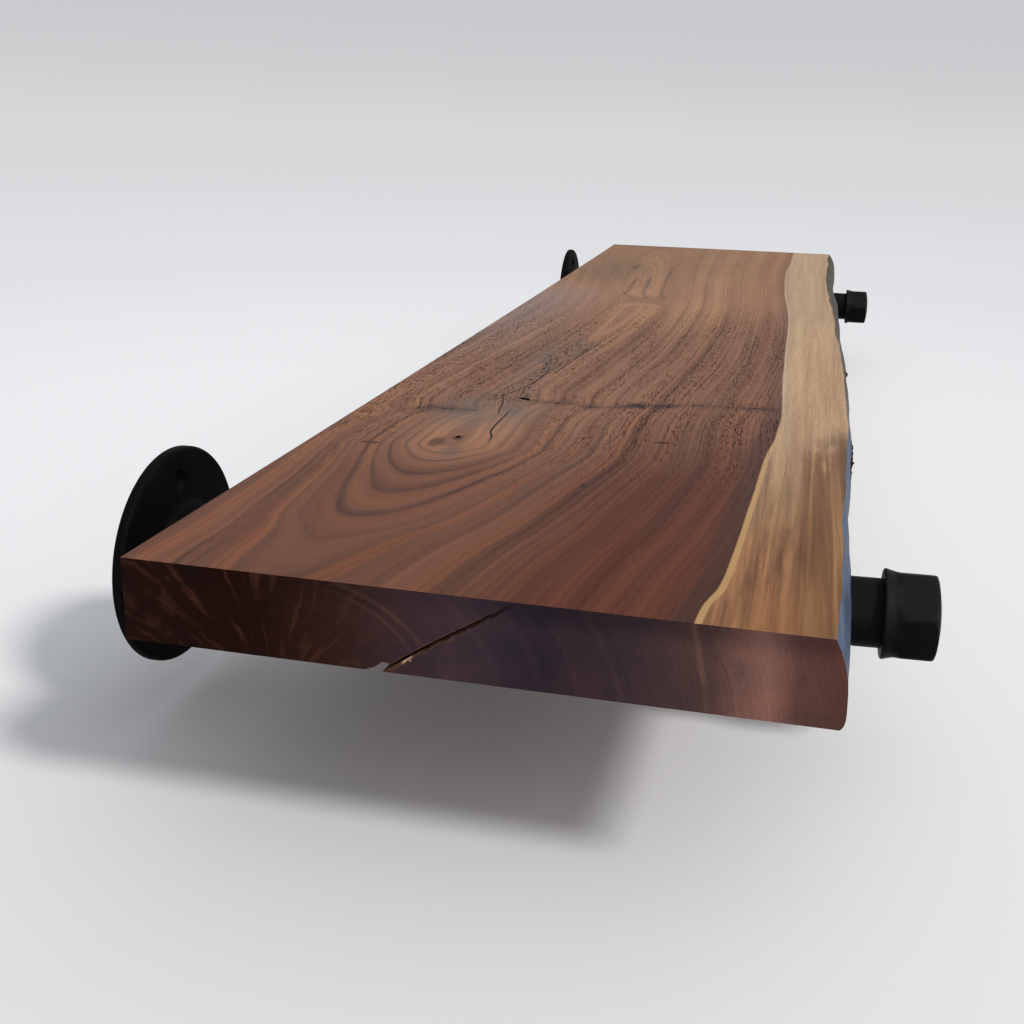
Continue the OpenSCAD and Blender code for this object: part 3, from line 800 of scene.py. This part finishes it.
def torn_split_walnut():
    """Bare wood inside the split."""
    material, net, shader = new_material("torn split walnut", gloss=0.1, rough=0.75)
    pull = net.grain(place_of(net), (60.0, 500.0, 500.0), 4.0, 0.6)
    colour = net.ramp(pull, [(0.3, (0.02, 0.009, 0.005)), (0.5, (0.06, 0.028, 0.014)),
                             (0.72, (0.2, 0.11, 0.055))])
    net.feed(shader["Base Color"], colour)
    net.feed(shader["Normal"], net.bump(pull, 0.6, 0.0006))
    return material


def painted_shade_hollow_walnut():
    """Nearly black inside the drying check and the knot hole: painted shade in the hollows."""
    material, net, shader = new_material("painted shade hollow walnut", gloss=0.02, rough=0.9)
    pull = net.grain(place_of(net), (300.0, 900.0, 900.0), 3.0, 0.6)
    colour = net.ramp(pull, [(0.35, (0.004, 0.0025, 0.002)), (0.65, (0.022, 0.012, 0.008))])
    net.feed(shader["Base Color"], colour)
    return material


def bark_crust():
    """Inner bark that stayed on the natural edge: crumbly, dark reddish brown."""
    material, net, shader = new_material("bark crust", gloss=0.04, rough=0.85)
    crumbs = net.grain(place_of(net), (260.0, 600.0, 600.0), 4.0, 0.65)
    colour = net.ramp(crumbs, [(0.3, (0.006, 0.0035, 0.003)), (0.5, (0.018, 0.008, 0.006)),
                               (0.72, (0.05, 0.02, 0.013))])
    net.feed(shader["Base Color"], colour)
    net.feed(shader["Normal"], net.bump(crumbs, 0.8, 0.0006))
    return material


# Board

# How far from the wall the back edge's finish ends, and how far from it the natural edge's begins
BACK_STRIP, NATURAL_EDGE_START = 0.06, 0.255
# Where along the board the split ends and the hollows of the top begin
SPLIT_END = -0.45
# How far from the middle the faces and the corners of the sawn ends lie, at least
END_FACE, END_CORNER = 0.45, 0.49


def merged_copy(node):
    """A clean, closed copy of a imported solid, with its flat faces joined up again."""
    mesh = bmesh.new()
    mesh.from_mesh(nodes[node].data)
    bmesh.ops.remove_doubles(mesh, verts=mesh.verts, dist=2e-6)
    mesh.normal_update()
    return mesh


def finish_piece(mesh, name, stands_for, materials):
    """Makes the mesh a piece of its own with its materials, hangs it on the root, and hides the imported
    solid that it stands for.
    """
    piece = bpy.data.objects.new(name, bpy.data.meshes.new(name))
    bpy.context.scene.collection.objects.link(piece)
    for material in materials:
        piece.data.materials.append(material)
    mesh.to_mesh(piece.data)
    mesh.free()
    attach(piece, "root")
    if stands_for:
        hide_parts(stands_for)


def is_sawn(normal):
    """True for the top, the underside, the ends and the back edge."""
    return abs(normal.z) > 0.99 or abs(normal.x) > 0.95 or normal.y > 0.9


def ease_arrises(mesh, width):
    """Takes the sharpness off the sawn corners, as sanding does: ends, top, underside and back."""
    corners = []
    for line in mesh.edges:
        if len(line.link_faces) != 2:
            continue
        first, second = (face.normal for face in line.link_faces)
        start, stop = (vert.co for vert in line.verts)
        at_end = abs(start.x) > END_CORNER and abs(stop.x) > END_CORNER
        at_back = -(start.y + stop.y) / 2 < BACK_STRIP
        sharp = first.angle(second) > math.radians(60) and (start - stop).length > 4 * width
        if is_sawn(first) and is_sawn(second) and sharp and (at_end or at_back):
            corners.append(line)
    bmesh.ops.bevel(mesh, geom=corners, offset=width, offset_type="OFFSET", segments=2, profile=0.5,
                    affect="EDGES", clamp_overlap=True, material=-1)


def surface_of(face):
    """Which of the board's materials a face of it takes."""
    centre, normal = face.calc_center_median(), face.normal
    level = min(abs(centre.z - BOARD_TOP), abs(centre.z - BOARD_UNDER)) < 1e-5
    if abs(normal.z) > 0.999 and level:
        return planed_walnut
    if abs(normal.x) > 0.95 and abs(centre.x) > END_FACE:
        return sawn_end_walnut
    if centre.y < -NATURAL_EDGE_START and normal.y < -0.05:
        return natural_edge_walnut
    if centre.y > -BACK_STRIP:
        return planed_walnut
    return painted_shade_hollow_walnut if centre.x > SPLIT_END else torn_split_walnut


def build_board():
    """The board with a finish for each kind of surface, its sawn corners eased, and its bark."""
    finishes = [planed_walnut, sawn_end_walnut, natural_edge_walnut, torn_split_walnut,
                painted_shade_hollow_walnut]
    mesh = merged_copy("live_edge_board")
    for face in mesh.faces:
        finish = surface_of(face)
        face.material_index = finishes.index(finish)
        face.smooth = finish is natural_edge_walnut
    ease_arrises(mesh, 0.0006)
    surface = BVHTree.FromBMesh(mesh)
    finish_piece(mesh, "walnut_board", "live_edge_board", [finish() for finish in finishes])
    build_bark(surface)


def build_bark(surface):
    """Scraps of bark left on the natural edge, each a thin crust laid on the board's own surface."""
    # Each scrap has its middle along the board, its height, length, width and thickness
    scraps = [(-0.2865, 0.03, 0.07, 0.0055, 0.001), (-0.287, 0.0275, 0.008, 0.004, 0.0017),
              (-0.082, 0.0275, 0.011, 0.0045, 0.0014)]
    sunk, crust = 0.00025, 0.0009
    mesh = bmesh.new()
    for middle, low, length, height, proud in scraps:
        steps = max(10, int(length / 0.0012))
        sheet = bmesh.ops.create_grid(mesh, x_segments=steps, y_segments=10, size=1.0)["verts"]
        for vert in sheet:
            u, v = vert.co.x, vert.co.y
            x, z = middle + u * length / 2, low + v * height / 2 * (1 - 0.3 * u * u)
            hit = surface.ray_cast(Vector((x, -0.4, z)), Vector((0, 1, 0)))[0]
            crumb = noise.noise(Vector((x * 420, z * 900, middle * 50)))
            rise = proud * (1 - u ** 4) * (1 - v * v) * (0.75 + 0.9 * crumb) - sunk
            vert.co = (x, hit.y - rise, z)
    mesh.normal_update()
    bmesh.ops.recalc_face_normals(mesh, faces=mesh.faces)
    bmesh.ops.solidify(mesh, geom=mesh.faces[:], thickness=crust)
    bmesh.ops.recalc_face_normals(mesh, faces=mesh.faces)
    for face in mesh.faces:
        face.smooth = True
    finish_piece(mesh, "bark_scraps", None, [bark_crust()])


# Black iron

def build_skin_group():
    """Skin of a black coated casting: sand grain, soft lumps and rubbed patches."""
    net, given, out = new_group(
        "coated iron skin",
        [("Place", VECTOR), ("Grain Size", FLOAT)],
        [("Height", FLOAT), ("Patches", FLOAT), ("Grit", FLOAT)],
    )
    place = given["Place"]
    inputs = {"Vector": place, "Scale": net.over(1.0, given["Grain Size"]), "Detail": 3.0, "Roughness": 0.6}
    grit = net.add("ShaderNodeTexNoise", inputs).outputs["Fac"]
    lumps = net.grain(place, (140.0, 140.0, 140.0))
    net.feed(out["Height"], net.plus(net.times(grit, 0.5), lumps))
    net.feed(out["Patches"], net.grain(place, (38.0, 38.0, 38.0), 4.0, 0.6))
    net.feed(out["Grit"], grit)


def black_iron(name, tone, rough, gloss, grain_size, relief, painted_top_light):
    """Black coated iron, painted paler on whatever faces up, as light from above would show it."""
    material, net, shader = new_material(name, gloss)
    skin = use_group(net, "coated iron skin", Place=place_of(net), Grain_Size=grain_size)
    dark, pale = (tuple(share * value for value in tone) for share in (0.7, 1.6))
    colour = net.ramp(skin["Patches"], [(0.35, dark), (0.55, tone), (0.75, pale)])
    upward = net.apart(net.add("ShaderNodeNewGeometry").outputs["Normal"])[2]
    # Painted top light: the colour turns paler where the surface faces up.
    painted_top_light_share = net.times(net.span(upward, -0.35, 0.45), net.span(skin["Grit"], 0.3, 0.6, 0.75, 1.0), painted_top_light)
    colour = net.mix(painted_top_light_share, colour, (0.021, 0.0203, 0.0188))
    net.feed(shader["Base Color"], colour)
    net.feed(shader["Roughness"], net.line(skin["Patches"], 0.3, 0.7, rough - 0.07, rough + 0.08))
    net.feed(shader["Normal"], net.bump(skin["Height"], relief, 0.0004))
    return material


# Caps, in millimetres until their places are set

CAP_BORE, CAP_BORE_DEPTH = 13.4, 16.8
CAP_WALL = 16.0
HEX_FLAT, HEX_CORNER = 16.0, 17.975
LIP_START, LIP_ROUND = 16.4, 1.0
BAND_NECK, BAND_FLARE, BAND_LENGTH = 15.95, 1.45, 5.4
CROWN, CROWN_START, CROWN_ROUND = 12.5, 18, 3
SPIN_STEPS = 180


def soft_least(first, second, blend):
    """The lesser of two lengths, rounded over where they meet."""
    return -blend * math.log(math.exp(-first / blend) + math.exp(-second / blend))


def soft_most(first, second, blend):
    """The greater of two lengths, rounded over in the same way."""
    return -soft_least(-first, -second, blend)


def along_line(value, points):
    """Height at a place on a line of straight lengths."""
    for (left, low), (right, high) in zip(points, points[1:]):
        if value <= right:
            return low + (high - low) * (value - left) / (right - left)
    return points[-1][1]


def cap_radius(depth, turn):
    """Outside of the cap, at a depth from its mouth and a turn from a corner of the hexagon."""
    if depth <= LIP_ROUND:
        return LIP_START + math.sqrt(max(0.0, LIP_ROUND ** 2 - (LIP_ROUND - depth) ** 2))
    flats = soft_least(HEX_FLAT / math.cos(math.radians(turn % 60 - 30)), HEX_CORNER, 0.06)
    envelope = along_line(depth, [(0, 9.6), (3, 15.65), (7, 17.575), (8.2, HEX_CORNER), (18, HEX_CORNER)])
    if depth > CROWN_START:
        past = (depth - CROWN_START) / CROWN_ROUND
        envelope = CROWN + (HEX_CORNER - CROWN) * math.sqrt(max(0.0, 1 - past ** 2))
    hexagon = soft_least(flats, envelope, 0.2)
    if depth >= 12:
        return hexagon
    band = BAND_NECK + BAND_FLARE * max(0.0, 1 - (depth - LIP_ROUND) / BAND_LENGTH) ** 1.15
    band -= 2.0 * max(0.0, depth - LIP_ROUND - BAND_LENGTH)
    return soft_most(band, hexagon, 0.3)


def cap_outline():
    """Half section of the cap, as (radius, depth from the mouth): bore, wall and crown."""
    depths = [0.0, 0.04, 0.15, 0.35, 0.65, 1.0] + [1.0 + 0.45 * step for step in range(1, 17)]
    depths += [8.6, 9.4, 10.5, 12.0, 14.0, 16.0, 17.4, 18.2, 18.8, 19.4, 19.9, 20.3, 20.65, 20.95]
    bore = [(0.0, CAP_BORE_DEPTH), (CAP_BORE, CAP_BORE_DEPTH), (CAP_BORE, 8.0), (CAP_BORE, 0.0), (15.0, 0.0)]
    crown = [(12.3, 21.2), (10.0, 21.58), (7.5, 21.88), (5.0, 22.06), (2.5, 22.17), (0.0, 22.2)]
    return bore + [(CAP_WALL, depth) for depth in depths] + crown


def build_cap(name, stands_for, turn, iron):
    """The cap as a casting: a flared lip that runs softly out into the six flats, and a bore for the pipe."""
    middle, mouth = sum(reach_of(stands_for, 0)) / 2, reach_of(stands_for, 1)[1]
    mesh = bmesh.new()
    dots = [mesh.verts.new((radius, -depth, 0)) for radius, depth in cap_outline()]
    line = [mesh.edges.new(pair) for pair in zip(dots, dots[1:])]
    bmesh.ops.spin(mesh, geom=dots + line, cent=(0, 0, 0), axis=(0, 1, 0), angle=2 * math.pi,
                   steps=SPIN_STEPS, use_merge=True)
    bmesh.ops.remove_doubles(mesh, verts=mesh.verts, dist=0.0001)
    for vert in mesh.verts:
        reach, depth = math.hypot(vert.co.x, vert.co.z), -vert.co.y
        angle = math.degrees(math.atan2(vert.co.z, vert.co.x))
        if abs(reach - CAP_WALL) < 0.5:
            reach = cap_radius(depth, angle - turn)
        angle = math.radians(angle)
        vert.co = (middle + reach * math.cos(angle) / 1000, mouth - depth / 1000,
                   reach * math.sin(angle) / 1000)
    mesh.normal_update()
    bmesh.ops.recalc_face_normals(mesh, faces=mesh.faces)
    for face in mesh.faces:
        face.smooth = True
    for edge in mesh.edges:
        edge.smooth = edge.calc_face_angle(0.0) < math.radians(60)
    finish_piece(mesh, name, stands_for, [iron])


def build_brackets():
    """Gives the flanges and pipes their coating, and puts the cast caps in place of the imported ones."""
    flange_iron = black_iron("black flange casting", (0.0024, 0.0024, 0.0025), rough=0.6, gloss=0.04,
                             grain_size=0.0009, relief=0.35, painted_top_light=0.04)
    cap_iron = black_iron("black cap casting", (0.0046, 0.0048, 0.0052), rough=0.46, gloss=0.025,
                          grain_size=0.0007, relief=0.22, painted_top_light=0.62)
    pipe_iron = black_iron("black pipe coating", (0.0042, 0.0044, 0.005), rough=0.5, gloss=0.02,
                           grain_size=0.0012, relief=0.08, painted_top_light=0.4)
    for side in ("left", "right"):
        nodes[side + "_wall_flange"].data.materials[0] = flange_iron
        nodes[side + "_pipe"].data.materials[0] = pipe_iron
    # A corner of each hexagon stands at the turn in degrees that the cap was tightened to
    build_cap("left_cap", "left_end_cap", turn=40, iron=cap_iron)
    build_cap("right_cap", "right_end_cap", turn=53, iron=cap_iron)


# Studio

FLOOR_HEIGHT = -0.062


def build_floor():
    """A plain pale floor, painted paler near the middle as a pool of light, that takes the shadow and fades
    out into the backdrop.
    """
    mesh = bmesh.new()
    height = Matrix.Translation((0, 0, FLOOR_HEIGHT))
    bmesh.ops.create_grid(mesh, x_segments=1, y_segments=1, size=12.0, matrix=height)
    data = bpy.data.meshes.new("floor")
    mesh.to_mesh(data)
    mesh.free()
    floor = bpy.data.objects.new("floor", data)
    bpy.context.scene.collection.objects.link(floor)
    material, net, shader = new_material("pale floor", gloss=0.0, rough=1.0)
    away = net.add("ShaderNodeVectorMath", {0: place_of(net)}, operation="LENGTH").outputs["Value"]
    # Painted pool of light: paler near the middle, greyer further out.
    net.feed(shader["Base Color"], net.ramp(net.line(away, 0.3, 5.0), [
        (0.0, (0.87, 0.873, 0.88)), (0.06, (0.82, 0.823, 0.83)), (0.15, (0.765, 0.769, 0.779)),
        (0.5, (0.715, 0.719, 0.729)), (1.0, (0.68, 0.684, 0.694))]))
    net.feed(shader["Alpha"], net.fade(away, 1.4, 6.5))
    floor.data.materials.append(material)


def build_world():
    """Soft light from the room, and a pale paper backdrop for whatever looks at the world."""
    world = bpy.data.worlds.new("studio")
    world.use_nodes = True
    net = Net(world.node_tree)
    room = world.node_tree.nodes["Background"]
    room.inputs["Color"].default_value = (0.93, 0.96, 1.0, 1)
    _, wallward, rising = net.apart(net.add("ShaderNodeTexCoord").outputs["Generated"])
    net.feed(room.inputs["Strength"], net.line(wallward, -1.0, 1.0, 1.15, 0.12))
    tone = net.ramp(net.line(rising, -0.02, 0.12), [
        (0.0, (0.685, 0.69, 0.7)), (0.35, (0.62, 0.625, 0.64)), (0.7, (0.58, 0.585, 0.605)),
        (1.0, (0.58, 0.585, 0.605))])
    paper = net.add("ShaderNodeBackground", {"Color": tone, "Strength": 1.0})
    path = net.add("ShaderNodeLightPath").outputs
    mirrored = net.most(path["Is Glossy Ray"], path["Is Transmission Ray"])
    seen = net.most(path["Is Camera Ray"], mirrored)
    both = net.add("ShaderNodeMixShader", {0: seen, 1: room.outputs[0], 2: paper.outputs[0]})
    net.feed(world.node_tree.nodes["World Output"].inputs["Surface"], both.outputs[0])
    bpy.context.scene.world = world


def place_sun():
    """The key light, from the room side and the left, as wide as a window."""
    lamp = bpy.data.lights.new("key", "SUN")
    lamp.energy = 1.85
    lamp.color = (1.0, 0.985, 0.96)
    lamp.angle = math.radians(9)
    holder = bpy.data.objects.new("key", lamp)
    holder.location = (-0.56, -1.0, 1.0)
    holder.rotation_euler = (-holder.location).to_track_quat("-Z", "Y").to_euler()
    bpy.context.scene.collection.objects.link(holder)


place_camera()
build_growth_group()
build_ring_group()
build_bold_group()
build_pore_group()
build_skin_group()
build_board()
build_brackets()
build_floor()
build_world()
place_sun()
bpy.context.scene.view_settings.view_transform = "Standard"
